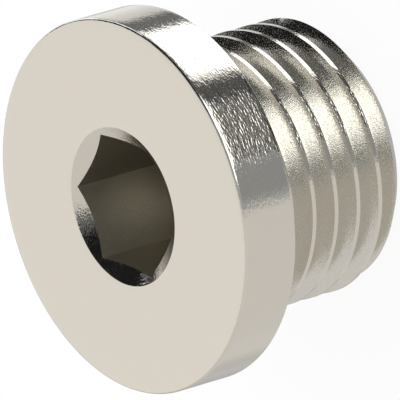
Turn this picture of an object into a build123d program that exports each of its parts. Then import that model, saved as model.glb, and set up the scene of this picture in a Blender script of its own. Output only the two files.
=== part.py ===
from build123d import *
import os
from math import cos, pi, radians, tan

# A screw plug for a G 1/4 port, turned from one bar: a round collar, a run-out relief under it,
# a parallel pipe thread and a blind hexagon socket. Millimetres. The plug stands on its threaded
# end: the origin is the centre of that end, and +Z points out of the socket.

# Collar
collar_diameter = 18.0
collar_thickness = 3.0
collar_front_break = 0.07       # both legs of the broken edge at the front face
collar_back_break = 0.05        # the same at the seat

# Threaded shank
shank_length = 9.0              # from the collar's seat to the threaded end
thread_size = 13.157            # outside diameter of the thread, over its crests
thread_pitch = 1.337            # 19 turns to the inch
flank_angle = 55.0              # between the two flanks of the groove, degrees
thread_bearing = 285.0          # where the groove opens in the end's plane, degrees about +Z from +X
end_chamfer = 0.95              # both legs of the 45 degree chamfer at the threaded end

# Relief between the collar and the thread
relief_width = 0.9              # flat floor, measured from the seat
relief_clearance = 0.10         # how far the floor lies inside the thread's root, on the radius
relief_slope = 30.0             # the side next to the thread, degrees from square

# Hexagon socket
socket_sides = 6
key_size = 6.0                  # the hexagon key, across its flats
key_clearance = 0.14            # play of the key across the flats
socket_depth = 6.0              # full hexagon, from the front face
mouth_margin = 0.27             # how far the countersink reaches past the hexagon's corners
mouth_angle = 120.0             # the countersink, degrees
drill_angle = 118.0             # point of the drill that opened the socket, degrees

# How far the thread tool stands clear of the crests
tool_clearance = 0.10

# Whitworth form: a triangle of this height on the pitch, cut off by a sixth at crest and root
form_height = thread_pitch / (2 * tan(radians(flank_angle / 2)))
cut_off = form_height / 6
root_flat = 2 * cut_off * tan(radians(flank_angle / 2))

total_length = shank_length + collar_thickness
collar_radius = collar_diameter / 2
crest_radius = thread_size / 2
root_radius = crest_radius - (form_height - 2 * cut_off)
relief_radius = root_radius - relief_clearance

socket_flats = key_size + key_clearance
socket_corner_radius = socket_flats / 2 / cos(pi / socket_sides)
mouth_radius = socket_corner_radius + mouth_margin


def turned(points):
    """The solid that a closed profile of (radius, height) points gives when it is turned about Z."""
    profile = Polyline(*points, close=True)
    return revolve(Plane.XZ * make_face(profile), Axis.Z)


def collar():
    """The round head, with both of its edges broken."""
    return turned([
        (0, shank_length),
        (collar_radius - collar_back_break, shank_length),
        (collar_radius, shank_length + collar_back_break),
        (collar_radius, total_length - collar_front_break),
        (collar_radius - collar_front_break, total_length),
        (0, total_length),
    ])


def shank_form():
    """What the shank lies in: the chamfered end, room for the crests, and the relief."""
    outer_radius = crest_radius + tool_clearance
    slope_length = (outer_radius - relief_radius) * tan(radians(relief_slope))
    return turned([
        (0, 0),
        (crest_radius - end_chamfer, 0),
        (outer_radius, end_chamfer + tool_clearance),
        (outer_radius, shank_length - relief_width - slope_length),
        (relief_radius, shank_length - relief_width),
        (relief_radius, shank_length),
        (0, shank_length),
    ])


def groove_half_width(radius):
    """Half the axial width of the thread's groove at a radius."""
    return root_flat / 2 + (radius - root_radius) * tan(radians(flank_angle / 2))


def thread_groove():
    """The right-hand groove, from one turn outside the end up to the collar."""
    outer_radius = crest_radius + tool_clearance
    half_width = groove_half_width(outer_radius)
    start = -thread_pitch
    section = Polyline(
        (root_radius, start - root_flat / 2),
        (outer_radius, start - half_width),
        (outer_radius, start + half_width),
        (root_radius, start + root_flat / 2),
        close=True,
    )
    path = Helix(thread_pitch, shank_length - start, root_radius, center=(0, 0, start))
    groove = sweep(Plane.XZ * make_face(section), path, is_frenet=True)
    return Rot(0, 0, thread_bearing) * groove


def threaded_bar():
    """A bar as thick as the crests, longer than the groove at both ends, with the groove in it."""
    spare = 2 * thread_pitch
    bar_length = shank_length + 2 * spare
    bar = Cylinder(crest_radius, bar_length, align=(Align.CENTER, Align.CENTER, Align.MIN))
    return Pos(0, 0, -spare) * bar - thread_groove()


def hexagon_socket():
    """The blind hexagon with its drilled point and the countersunk mouth."""
    hexagon = RegularPolygon(socket_corner_radius, socket_sides)
    bottom = total_length - socket_depth
    pocket = Pos(0, 0, bottom) * extrude(hexagon, socket_depth)

    drill_radius = socket_flats / 2
    point_height = drill_radius / tan(radians(drill_angle / 2))
    point = Cone(0, drill_radius, point_height, align=(Align.CENTER, Align.CENTER, Align.MAX))

    mouth_height = mouth_radius / tan(radians(mouth_angle / 2))
    mouth = Cone(0, mouth_radius, mouth_height, align=(Align.CENTER, Align.CENTER, Align.MAX))
    return pocket + Pos(0, 0, bottom) * point + Pos(0, 0, total_length) * mouth


def plug():
    shank = threaded_bar() & shank_form()
    return collar() + shank - hexagon_socket()


os.makedirs("parts", exist_ok=True)
export_step(plug(), "parts/plug_body.step")
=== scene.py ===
import bmesh
import bpy
import numpy as np
from math import cos, pi, radians, sin, tan
from mathutils import Matrix, Vector


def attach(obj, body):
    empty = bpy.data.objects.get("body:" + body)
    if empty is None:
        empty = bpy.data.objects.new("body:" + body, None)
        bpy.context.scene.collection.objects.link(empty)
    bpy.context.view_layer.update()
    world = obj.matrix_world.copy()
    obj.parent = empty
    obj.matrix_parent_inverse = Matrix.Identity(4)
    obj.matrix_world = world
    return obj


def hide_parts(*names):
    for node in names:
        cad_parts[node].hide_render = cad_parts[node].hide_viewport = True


# A nickel-plated G 1/4 screw plug, standing on its threaded end. Metres, in the CAD frame.
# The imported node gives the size; the piece built here repeats its form with softened edges on
# the collar, rounded roots in the thread and a scalloped edge between hexagon and countersink.

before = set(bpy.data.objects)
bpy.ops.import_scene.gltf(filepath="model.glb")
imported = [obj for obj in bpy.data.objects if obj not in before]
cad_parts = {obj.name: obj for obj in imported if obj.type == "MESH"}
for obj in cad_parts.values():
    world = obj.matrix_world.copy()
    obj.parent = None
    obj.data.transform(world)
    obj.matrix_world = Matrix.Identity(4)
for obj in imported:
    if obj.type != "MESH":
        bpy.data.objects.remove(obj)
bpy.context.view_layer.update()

MM = 0.001

# Sizes of the plug, in millimetres; heights are measured from the threaded end
TOP = 12.0                      # front face
SEAT = 9.0                      # back of the collar
COLLAR_R = 9.0
FRONT_ROUND = 0.12              # touches the middle of the CAD's broken edge
BACK_BREAK = 0.05
BACK_ROUND = 0.03               # on both corners of the broken edge at the back
CREST_R = 6.5785
ROOT_R = 5.7224
PITCH = 1.337
CREST_HALF = 0.1114             # half the width of a crest's flat
ROOT_HALF = 0.0628              # half the width of a root's flat; the flanks run between the two
ROOT_ROUND = 0.10
THREAD_BEARING = 285.0          # where a groove's centre lies at height 0, degrees
RELIEF_R = 5.6224
RELIEF_TOP = 8.1                # where the relief's floor ends and its slope starts
RELIEF_SLOPE = radians(30)
RELIEF_ROUND = 0.08             # between the relief's floor and the collar
RUNOUT_BLEND = 0.04             # how softly the thread runs out into the relief's slope
END_CHAMFER = 0.95
HEX_APOTHEM = 3.07
SOCKET_FLOOR = 6.0
DRILL_ANGLE = radians(118)
DRILL_TIP = SOCKET_FLOOR - HEX_APOTHEM / tan(DRILL_ANGLE / 2)
MOUTH_R = 3.815
MOUTH_ANGLE = radians(120)
MOUTH_TIP = TOP - MOUTH_R / tan(MOUTH_ANGLE / 2)     # where the countersink's cone would end
MOUTH_ROUND = 0.06

# How finely the surface is cut up
COLUMNS = 288                   # around the plug; a multiple of 6, so that hexagon corners get one
FLANK_STEPS = 5                 # down one flank of the thread
ROOT_STEPS = 5                  # points round each corner of a root
FRONT_STEPS = 8                 # points round the collar's front edge
DRILL_RINGS = (0.35, 1.2, 2.1, 2.75, 2.97)           # radii on the drill's point
DRILL_EDGE = ((3.03, -0.008), (3.045, 0))            # radius, and height over the socket's floor
WALL_RINGS = (0, 0.02, 0.3, 0.6, 0.9, 0.99, 1)       # shares of the way up the hexagon
MOUTH_RINGS = (0.02, 0.3, 0.6, 0.9)                  # shares of the way up the countersink
FACE_RINGS = (4.2, 5.4, 6.6, 7.8, 8.6)               # radii on the front face
RIM_RINGS = (11.6, 11.0, 10.4, 9.8, 9.3)             # heights on the collar's rim
SEAT_RINGS = (8.4, 7.4, 6.5, 5.95)                   # radii on the collar's back
RELIEF_RINGS = (8.7, 8.4)                            # heights on the relief's floor
END_RINGS = (5.45, 4.4, 3.0, 1.5, 0.5)               # radii on the threaded end
SPARE_TURNS = 3                 # of the thread, past both ends of the shank
END_MARGIN = 0.004              # a row nearer than this to an end of the shank joins its ring

# Sharp edges
CREST_BAND = 0.02               # how far inside the crests' radius a point still belongs to one
CHAMFER_BAND = 0.001            # how far off the chamfer a point still belongs to it
CREASE_ANGLE = radians(18)

# the socket's finish also carries painted shade in its darker colour
SOCKET, FLAT, TURNED, THREAD = range(4)     # the plug's finishes, as material slots


# ---------------------------------------------------------------- the plug's form

def round_corner(start, corner, end, radius, steps):
    """Points of an arc of that radius between two straight runs of (x, y) that meet at corner."""
    start, corner, end = (np.array(p, float) for p in (start, corner, end))
    a = (start - corner) / np.linalg.norm(start - corner)
    b = (end - corner) / np.linalg.norm(end - corner)
    half = np.arccos(np.clip(a @ b, -1, 1)) / 2
    reach = radius / np.tan(half)
    centre = corner + (a + b) / np.linalg.norm(a + b) * radius / np.sin(half)
    p, q = corner + a * reach - centre, corner + b * reach - centre
    turn = np.arctan2(p[0] * q[1] - p[1] * q[0], p @ q)
    points = []
    for t in np.linspace(0, 1, steps):
        c, s = np.cos(turn * t), np.sin(turn * t)
        points.append(centre + np.array([p[0] * c - p[1] * s, p[0] * s + p[1] * c]))
    return points


def thread_profile():
    """One pitch of the thread, from crest centre to crest centre, as (offset, radius)."""
    half = PITCH / 2
    crest, shoulder = np.array((0, CREST_R)), np.array((CREST_HALF, CREST_R))
    foot, root = np.array((half - ROOT_HALF, ROOT_R)), np.array((half, ROOT_R))
    shares = [k / FLANK_STEPS for k in range(1, FLANK_STEPS)]
    flank = [shoulder * (1 - t) + foot * t for t in shares]
    corner = round_corner(shoulder, foot, root, ROOT_ROUND, ROOT_STEPS)
    down = np.array([crest, shoulder] + flank + corner + [root])
    up = down[::-1][1:-1] * [-1, 1] + [PITCH, 0]
    return np.vstack([down, up])


PROFILE = thread_profile()
TURN_ROWS = len(PROFILE)
ANGLES = 2 * pi * np.arange(COLUMNS) / COLUMNS


def ring(radius, height):
    """A closed ring of points; radius and height are numbers or one value per column."""
    radius, height = np.broadcast_to(radius, COLUMNS), np.broadcast_to(height, COLUMNS)
    return np.column_stack([radius * np.cos(ANGLES), radius * np.sin(ANGLES), height])


def arc_rings(start, corner, end, radius, steps=4):
    """Rings round a corner of an outline of (radius, height) points."""
    return [ring(r, z) for r, z in round_corner(start, corner, end, radius, steps)]


def hexagon():
    """The radius of the socket's wall in each column."""
    off = (ANGLES + pi / 6) % (pi / 3) - pi / 6          # from the nearest corner
    return HEX_APOTHEM / np.cos(pi / 6 - np.abs(off))


def mouth_height(radius):
    """The height of the countersink at a radius."""
    return TOP - (MOUTH_R - radius) / tan(MOUTH_ANGLE / 2)


def socket_rings():
    """From the drill's point up to the hexagon's scalloped edge."""
    wall = hexagon()
    edge = mouth_height(wall)
    rings = [ring(r, DRILL_TIP + r / tan(DRILL_ANGLE / 2)) for r in DRILL_RINGS]
    rings += [ring(r, SOCKET_FLOOR + z) for r, z in DRILL_EDGE]
    rings += [ring(wall, SOCKET_FLOOR + (edge - SOCKET_FLOOR) * t) for t in WALL_RINGS]
    return rings


def mouth_rings():
    """Up the countersink and over its rounded edge onto the front face."""
    wall = hexagon()
    radii = [wall + (MOUTH_R - wall) * t for t in MOUTH_RINGS]
    rings = [ring(r, mouth_height(r)) for r in radii]
    return rings + arc_rings((0, MOUTH_TIP), (MOUTH_R, TOP), (COLLAR_R, TOP), MOUTH_ROUND)


def collar_rings():
    """From the front face round the collar to the relief's floor."""
    front, back, neck = (COLLAR_R, TOP), (COLLAR_R, SEAT), (RELIEF_R, SEAT)
    break_start, break_end = (COLLAR_R, SEAT + BACK_BREAK), (COLLAR_R - BACK_BREAK, SEAT)
    rings = [ring(r, TOP) for r in FACE_RINGS]
    rings += arc_rings((MOUTH_R, TOP), front, back, FRONT_ROUND, FRONT_STEPS)
    rings += [ring(COLLAR_R, z) for z in RIM_RINGS]
    rings += arc_rings(front, break_start, break_end, BACK_ROUND)
    rings += arc_rings(break_start, break_end, neck, BACK_ROUND)
    rings += [ring(r, SEAT) for r in SEAT_RINGS]
    rings += arc_rings(back, neck, (RELIEF_R, RELIEF_TOP), RELIEF_ROUND)
    rings += [ring(RELIEF_R, z) for z in RELIEF_RINGS]
    return rings


def smooth_min(a, b, width):
    """The lower of two curves, rounded over where they cross."""
    h = np.clip(0.5 + (b - a) / (2 * width), 0, 1)
    return b * (1 - h) + a * h - width * h * (1 - h)


def chamfer_radius(height):
    return CREST_R - END_CHAMFER + height


def shank_radius(height, thread):
    """The radius of the shank: the thread, cut off by the relief's slope and the end chamfer."""
    slope = RELIEF_R + (RELIEF_TOP - height) / tan(RELIEF_SLOPE)
    radius = smooth_min(thread, np.maximum(slope, RELIEF_R), RUNOUT_BLEND)
    return np.minimum(radius, chamfer_radius(height))


def snap_to_chamfer(heights, thread_radius):
    """Move the nearest row of each column onto each crossing of the thread and the chamfer.

    Gives back which points have been moved."""
    gap = thread_radius(heights) - chamfer_radius(heights)
    moved = np.zeros(heights.shape, bool)
    for column, row in np.argwhere(gap[:, :-1] * gap[:, 1:] < 0):
        share = gap[column, row] / (gap[column, row] - gap[column, row + 1])
        crossing = heights[column, row] * (1 - share) + heights[column, row + 1] * share
        heights[column, row + round(share)] = crossing
        moved[column, row + round(share)] = True
    return moved


def thread_rows():
    """Heights and radii of the thread's points, by column and by row along its helix.

    Row k + TURN_ROWS of the first column is row k past the last one. Rows beyond the shank's
    two ends are gathered onto them. Two more arrays say which points lie between the ends, and
    which have been moved onto the chamfer's edge."""
    turns = np.arange(-SPARE_TURNS, int(RELIEF_TOP / PITCH) + SPARE_TURNS)
    offsets = np.concatenate([PROFILE[:, 0] + t * PITCH for t in turns])
    crest_at_zero = PITCH * (0.5 - THREAD_BEARING / 360)
    rise = PITCH * (ANGLES / (2 * pi))[:, None]
    heights = offsets[None, :] + crest_at_zero + rise
    between = (heights > END_MARGIN) & (heights < RELIEF_TOP - END_MARGIN)

    def thread_radius(height):
        phase = (height - crest_at_zero - rise) % PITCH
        return np.interp(phase, np.append(PROFILE[:, 0], PITCH), np.append(PROFILE[:, 1], CREST_R))

    heights = np.clip(heights, 0, RELIEF_TOP)
    on_chamfer = snap_to_chamfer(heights, thread_radius)
    return heights, shank_radius(heights, thread_radius(heights)), between, on_chamfer


# ---------------------------------------------------------------- the plug's mesh

class Surface:
    """Points in millimetres and faces, collected for one mesh. Each face has a finish."""

    def __init__(self):
        self.points, self.faces, self.finishes = [], [], []

    def add(self, points):
        """Takes points in, and gives back their numbers."""
        first = len(self.points)
        self.points.extend(np.asarray(points, float).tolist())
        return first + np.arange(len(points))

    def face(self, corners, finish):
        self.faces.append(tuple(int(corner) for corner in corners))
        self.finishes.append(finish)

    def bridge(self, lower, upper, finish):
        """A band of faces between two rings."""
        for i in range(COLUMNS):
            j = (i + 1) % COLUMNS
            self.face((lower[i], lower[j], upper[j], upper[i]), finish)

    def fan(self, centre, around, finish):
        """Triangles from one point to a ring."""
        for i in range(COLUMNS):
            self.face((centre, around[(i + 1) % COLUMNS], around[i]), finish)


def add_head(surface):
    """Socket, front face, collar and relief. Gives back the ring where the thread starts."""
    socket = socket_rings()
    outline = socket + mouth_rings() + collar_rings() + [ring(RELIEF_R, RELIEF_TOP)]
    on_face = [np.allclose(points[:, 2], TOP) for points in outline]
    tip = surface.add([(0, 0, DRILL_TIP)])[0]
    rings = [surface.add(points) for points in outline]
    surface.fan(tip, rings[0], SOCKET)
    for k, (upper, lower) in enumerate(zip(rings, rings[1:])):
        turned = FLAT if on_face[k] and on_face[k + 1] else TURNED
        surface.bridge(lower, upper, SOCKET if k < len(socket) - 1 else turned)
    return rings[-1]


def thread_faces(loop, edge_points):
    """What fills a loop of four points: a quad, a triangle, or nothing where it has no width.

    A quad with two opposite corners on the chamfer's edge becomes two triangles along it."""
    kept = [point for n, point in enumerate(loop) if point != loop[n - 1]]
    if len(set(kept)) < 3:
        return []
    if len(kept) == 4 and edge_points.issuperset((loop[0], loop[2])):
        return [loop[:3], (loop[0], loop[2], loop[3])]
    if len(kept) == 4 and edge_points.issuperset((loop[1], loop[3])):
        return [loop[1:], (loop[0], loop[1], loop[3])]
    return [kept]


def add_thread(surface, top_ring, end_ring):
    """The thread, between the relief's ring and the threaded end's."""
    heights, radii, between, on_chamfer = thread_rows()
    index = np.where(heights < RELIEF_TOP / 2, end_ring[:, None], top_ring[:, None])
    edge_points = set()             # those on the chamfer's edge
    for i in range(COLUMNS):
        own = np.flatnonzero(between[i])
        r, z = radii[i, own], heights[i, own]
        added = surface.add(np.column_stack([r * cos(ANGLES[i]), r * sin(ANGLES[i]), z]))
        index[i, own] = added
        edge_points.update(added[on_chamfer[i, own]].tolist())

    rows = index.shape[1]
    on_crest = np.tile(PROFILE[:, 1] > CREST_R - CREST_BAND, rows // TURN_ROWS)
    one_turn_on = np.append(index[0][TURN_ROWS:], [top_ring[0]] * TURN_ROWS)
    for here, there in zip(index, np.vstack([index[1:], one_turn_on])):
        for k in range(rows - 1):
            finish = TURNED if on_crest[k] and on_crest[k + 1] else THREAD
            loop = (here[k], there[k], there[k + 1], here[k + 1])
            for corners in thread_faces(loop, edge_points):
                surface.face(corners, finish)


def add_end(surface, end_ring):
    """The flat threaded end."""
    rings = [end_ring] + [surface.add(ring(r, 0.0)) for r in END_RINGS]
    for outer, inner in zip(rings, rings[1:]):
        surface.bridge(inner, outer, FLAT)
    centre = surface.add([(0, 0, 0)])[0]
    surface.fan(centre, rings[-1], FLAT)


def is_crease(edge):
    """The broached hexagon's edges are sharp, and so are the thread's crests and its chamfer."""
    if len(edge.link_faces) != 2:
        return False
    ends = [(Vector(v.co.xy).length / MM, v.co.z / MM) for v in edge.verts]
    hexagonal = all(r < MOUTH_R and z > 0 for r, z in ends)
    crest = all(r > CREST_R - CREST_BAND and z < RELIEF_TOP for r, z in ends)
    chamfer = all(abs(r - chamfer_radius(z)) < CHAMFER_BAND and 0 < z < END_CHAMFER
                  for r, z in ends)
    return (hexagonal or crest or chamfer) and edge.calc_face_angle() > CREASE_ANGLE


def build_plug():
    surface = Surface()
    top_ring = add_head(surface)
    end_ring = surface.add(ring(CREST_R - END_CHAMFER, 0.0))
    add_thread(surface, top_ring, end_ring)
    add_end(surface, end_ring)

    mesh = bpy.data.meshes.new("plug")
    mesh.from_pydata((np.array(surface.points) * MM).tolist(), [], surface.faces)
    mesh.polygons.foreach_set("material_index", surface.finishes)
    body = bmesh.new()
    body.from_mesh(mesh)
    bmesh.ops.recalc_face_normals(body, faces=body.faces)
    for edge in body.edges:
        edge.smooth = not is_crease(edge)
    body.to_mesh(mesh)
    body.free()
    mesh.shade_smooth()
    plug = bpy.data.objects.new("plug", mesh)
    bpy.context.scene.collection.objects.link(plug)
    return plug


plug = build_plug()
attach(plug, "root")
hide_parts("plug_body")


# ---------------------------------------------------------------- materials

class Graph:
    """Short calls to lay out the nodes of a material or of the world."""

    def __init__(self, owner):
        owner.use_nodes = True
        self.nodes, self.links = owner.node_tree.nodes, owner.node_tree.links

    def put(self, socket, value):
        """Link an output to a socket, or set the socket to a value."""
        if isinstance(value, bpy.types.NodeSocket):
            self.links.new(value, socket)
        else:
            socket.default_value = value

    def node(self, kind, *inputs, **settings):
        """A node with its settings, and with values or links in its inputs, in their order."""
        node = self.nodes.new("ShaderNode" + kind)
        for name, value in settings.items():
            setattr(node, name, value)
        for socket, value in zip((i for i in node.inputs if i.enabled), inputs):
            self.put(socket, value)
        return node

    def math(self, operation, *inputs):
        return self.node("Math", *inputs, operation=operation).outputs[0]

    def ramp(self, value, low, high, out_low=0.0, out_high=1.0):
        """From out_low to out_high while the value goes from low to high, gently at both ends."""
        return self.node("MapRange", value, low, high, out_low, out_high,
                         interpolation_type="SMOOTHSTEP").outputs[0]

    def mix(self, factor, a, b):
        """A mix of two colours, through the sockets that the Mix node has for colours."""
        node = self.node("Mix", data_type="RGBA")
        for number, value in ((0, factor), (6, a), (7, b)):
            self.put(node.inputs[number], value)
        return node.outputs[2]

    def noise(self, place, scale, detail=1.0):
        node = self.node("TexNoise")
        for name, value in (("Vector", place), ("Scale", scale), ("Detail", detail)):
            self.put(node.inputs[name], value)
        return node.outputs[0]


PITS_PER_GRAIN = 0.9            # how many pits there are across the width of a grain
PIT_DEPTH = 0.35                # as a share of the grain's depth
SHINY_UNTIL, DULL_FROM = 0.4, 0.7   # values of the noise between which a grain turns dull
CLOUDS_PER_METRE = 900.0
WARMER = (1.015, 1.0, 0.98)     # the clouds' two tints
COOLER = (0.985, 1.0, 1.02)


def tinted(color, tint):
    return tuple(c * k for c, k in zip(color, tint)) + (1,)


def nickel(name, color, shiny, dull, grain_length, grain_width, grain_depth):
    """Satin nickel plate, from shiny to dull grain by grain. The grain follows the turning:
    length is along it, width across it, and depth is how deep it goes, all in metres."""
    material = bpy.data.materials.new(name)
    graph = Graph(material)
    shader = graph.nodes["Principled BSDF"]
    shader.inputs["Metallic"].default_value = 1.0

    place = graph.node("TexCoord").outputs["Object"]
    x, y, z = graph.node("SeparateXYZ", place).outputs
    square = graph.math("ADD", graph.math("MULTIPLY", x, x), graph.math("MULTIPLY", y, y))
    around = graph.math("MULTIPLY", graph.math("ARCTAN2", y, x), COLLAR_R * MM / grain_length)
    out = graph.math("DIVIDE", graph.math("SQRT", square), grain_width)
    up = graph.math("DIVIDE", z, grain_width)
    turned = graph.node("CombineXYZ", around, out, up).outputs[0]
    grain = graph.noise(turned, 1.0)
    pits = graph.noise(place, PITS_PER_GRAIN / grain_width)
    height = graph.math("ADD", grain, graph.math("MULTIPLY", pits, PIT_DEPTH))
    bump = graph.node("Bump")
    bump.inputs["Strength"].default_value = 1.0
    bump.inputs["Distance"].default_value = grain_depth
    graph.put(bump.inputs["Height"], height)
    graph.put(shader.inputs["Normal"], bump.outputs[0])

    # the plate is a little uneven in colour and in shine
    clouds = graph.noise(place, CLOUDS_PER_METRE, detail=2.0)
    uneven = graph.mix(clouds, tinted(color, COOLER), tinted(color, WARMER))
    graph.put(shader.inputs["Base Color"], uneven)
    grains = graph.noise(place, 1 / grain_width)
    graph.put(shader.inputs["Roughness"], graph.ramp(grains, SHINY_UNTIL, DULL_FROM, shiny, dull))
    return material


FLOOR_COLOR = (0.9, 0.9, 0.9, 1)
FLOOR_GLOW = 0.9                # share of the floor's white that is its own where the camera sees it


def paper():
    """The pale floor: it takes the plug's shadow, and its unshaded part is white."""
    material = bpy.data.materials.new("pale_floor")
    graph = Graph(material)
    graph.nodes.clear()
    output = graph.node("OutputMaterial")
    path = graph.node("LightPath").outputs
    seen = graph.math("MAXIMUM", path["Is Camera Ray"], path["Is Glossy Ray"])
    diffuse = graph.node("BsdfDiffuse", FLOOR_COLOR).outputs[0]
    glow = graph.node("Emission", (1, 1, 1, 1), 1.0).outputs[0]
    mixed = graph.node("MixShader", graph.math("MULTIPLY", seen, FLOOR_GLOW), diffuse, glow)
    graph.put(output.inputs["Surface"], mixed.outputs[0])
    return material


# in the order of SOCKET, FLAT, TURNED and THREAD: name, colour, shiny and dull roughness, and
# the grain's length, width and depth in metres
FINISHES = [
    # the socket's colour is darker and yellower than the rest: painted shade inside the recess; its
    # higher roughness is its duller finish
    ("plate_socket_painted_shade", (0.560, 0.525, 0.450), 0.33, 0.39, 0.00015, 0.00015, 4e-6),
    ("plate_flat",   (0.687, 0.634, 0.557), 0.28, 0.34, 0.0004, 0.00006, 6e-7),
    ("plate_turned", (0.645, 0.600, 0.532), 0.05, 0.15, 0.0003, 0.000095, 9e-6),
    ("plate_thread", (0.640, 0.610, 0.552), 0.05, 0.32, 0.00007, 0.00007, 7.5e-6),
]
for finish in FINISHES:
    plug.data.materials.append(nickel(*finish))


# ---------------------------------------------------------------- floor, light and camera

FLOOR_HALF = 3.0                # metres from its middle to its edges
FLOOR_DROP = 0.00002            # how far it lies under the plug's end, clear of it


def build_floor():
    h = FLOOR_HALF
    mesh = bpy.data.meshes.new("floor")
    mesh.from_pydata([(-h, -h, 0), (h, -h, 0), (h, h, 0), (-h, h, 0)], [], [(0, 1, 2, 3)])
    floor = bpy.data.objects.new("floor", mesh)
    bpy.context.scene.collection.objects.link(floor)
    floor.data.materials.append(paper())
    floor.location.z = -FLOOR_DROP
    floor.visible_glossy = False


STUDIO = (0.84, 0.84, 0.84, 1)  # the pale surroundings
PLAIN = (1.0, 1.0, 1.0)
COOL = (0.95, 1.0, 1.05)        # daylight

# What the plate mirrors besides the pale surroundings: light panels and dark flags. Each has a
# range of azimuth and of elevation in degrees, its brightness and how soft its edges are, and
# covers those before it.
PANELS = [
    # name            azimuth       elevation    light  edge tint
    ("low_pole",      (-190, 190),  (-95, -77),  0.76,  5,  PLAIN),
    ("left_mid",      (-190, -123), (-17, 16),   0.88,  10, PLAIN),
    ("face_card",     (54, 108),    (8, 65),     1.06,  8,  PLAIN),
    ("right_side",    (53, 81),     (-52, -1),   1.0,   18, PLAIN),
    ("back_low",      (75, 132),    (-71, 10),   0.64,  16, PLAIN),
    ("back_edge",     (74, 106),    (-60, -26),  0.50,  12, PLAIN),
    ("flag",          (-42, 62),    (2, 88),     0.012, 8,  COOL),
    ("upper_right",   (35, 88),     (48, 85),    0.62,  8,  COOL),
    ("flag_top",      (-133, -35),  (69, 89),    0.17,  6,  COOL),
    ("mid_band",      (-52, 24),    (-31, 6),    0.27,  2,  COOL),
    ("mid_right",     (2, 52),      (-23, 17),   1.45,  6,  COOL),
    ("flag_low",      (0, 37),      (-41, -10),  0.20,  6,  COOL),
    ("slot",          (34, 66),     (-50, -42),  0.15,  4,  PLAIN),
    ("frame",         (-117, -42),  (-48, 61),   0.50,  6,  COOL),
    ("gap",           (-55, -34),   (-61, 54),   0.12,  3,  COOL),
    ("under_front",   (-86, -18),   (-79, -53),  0.52,  8,  PLAIN),
    ("sill",          (-88, -50),   (-44, -31),  0.24,  4,  PLAIN),
    ("ledge",         (-88, -38),   (-56, -41),  0.03,  4,  PLAIN),
    ("front",         (-98, -50),   (-31, 20),   3.5,   7,  COOL),
    ("corner",        (-112, -89),  (-48, -24),  0.39,  4,  COOL),
    ("right_low",     (-30, 17),    (-62, -31),  2.1,   2,  COOL),
]


def build_world():
    """Plain white light, and in reflections the studio with its panels."""
    world = bpy.data.worlds.new("studio")
    bpy.context.scene.world = world
    graph = Graph(world)
    x, y, z = graph.node("SeparateXYZ", graph.node("TexCoord").outputs["Generated"]).outputs
    azimuth, elevation = graph.math("ARCTAN2", y, x), graph.math("ARCSINE", z)

    def within(value, span, soft):
        low, high, soft = radians(span[0]), radians(span[1]), radians(soft) / 2
        above = graph.ramp(value, low - soft, low + soft)
        return graph.math("MULTIPLY", above, graph.ramp(value, high - soft, high + soft, 1.0, 0.0))

    light = STUDIO
    for name, azimuths, elevations, brightness, soft, tint in PANELS:
        inside = graph.math("MULTIPLY", within(azimuth, azimuths, soft),
                            within(elevation, elevations, soft))
        light = graph.mix(inside, light, tuple(brightness * c for c in tint) + (1,))
    glossy = graph.node("LightPath").outputs["Is Glossy Ray"]
    background = graph.nodes["Background"]
    graph.put(background.inputs["Color"], graph.mix(glossy, (1, 1, 1, 1), light))
    background.inputs["Strength"].default_value = 1.0


KEY_PLACE = Vector((0.25, -0.15, 0.5))
KEY_TARGET = Vector((0, 0, 0.006))
KEY_SIZE = 0.35
KEY_POWER = 0.6


def build_key():
    """A soft lamp from above. The plate doesn't mirror it."""
    light = bpy.data.lights.new("key", "AREA")
    light.shape = "SQUARE"
    light.size = KEY_SIZE
    light.energy = KEY_POWER
    lamp = bpy.data.objects.new("key", light)
    lamp.location = KEY_PLACE
    lamp.rotation_euler = (KEY_TARGET - KEY_PLACE).to_track_quat("-Z", "Y").to_euler()
    lamp.visible_camera = False
    lamp.visible_glossy = False
    bpy.context.scene.collection.objects.link(lamp)


FACE_CENTRE = Vector((0, 0, TOP * MM))
CAMERA_AZIMUTH = -5.0           # degrees; 0 looks along +Y
CAMERA_ELEVATION = 36.6
CAMERA_ROLL = -106.18
CAMERA_DISTANCE = 0.63          # from the centre of the front face
SENSOR = 36.0
LENS = 1216.3
IMAGE = 400
FACE_PIXEL = (122.74, 206.83)   # where the centre of the front face lies in the picture


def build_camera():
    azimuth, elevation = radians(CAMERA_AZIMUTH), radians(CAMERA_ELEVATION)
    back = Vector((sin(azimuth) * cos(elevation), -cos(azimuth) * cos(elevation), sin(elevation)))
    right = Vector((cos(azimuth), sin(azimuth), 0))
    up = back.cross(right)
    turned = Matrix((right, up, back)).transposed() @ Matrix.Rotation(radians(CAMERA_ROLL), 3, "Z")
    right, up = turned.col[0], turned.col[1]
    step = CAMERA_DISTANCE * SENSOR / LENS / IMAGE      # metres across one pixel at the face
    place = FACE_CENTRE + back * CAMERA_DISTANCE
    place -= right * (FACE_PIXEL[0] - IMAGE / 2) * step
    place += up * (FACE_PIXEL[1] - IMAGE / 2) * step
    data = bpy.data.cameras.new("camera")
    data.lens = LENS
    data.sensor_width = SENSOR
    data.clip_start = 0.05
    data.clip_end = 20
    camera = bpy.data.objects.new("camera", data)
    camera.matrix_world = Matrix.Translation(place) @ turned.to_4x4()
    bpy.context.scene.collection.objects.link(camera)
    bpy.context.scene.camera = camera


build_floor()
build_world()
build_key()
build_camera()
bpy.context.scene.view_settings.view_transform = "Standard"
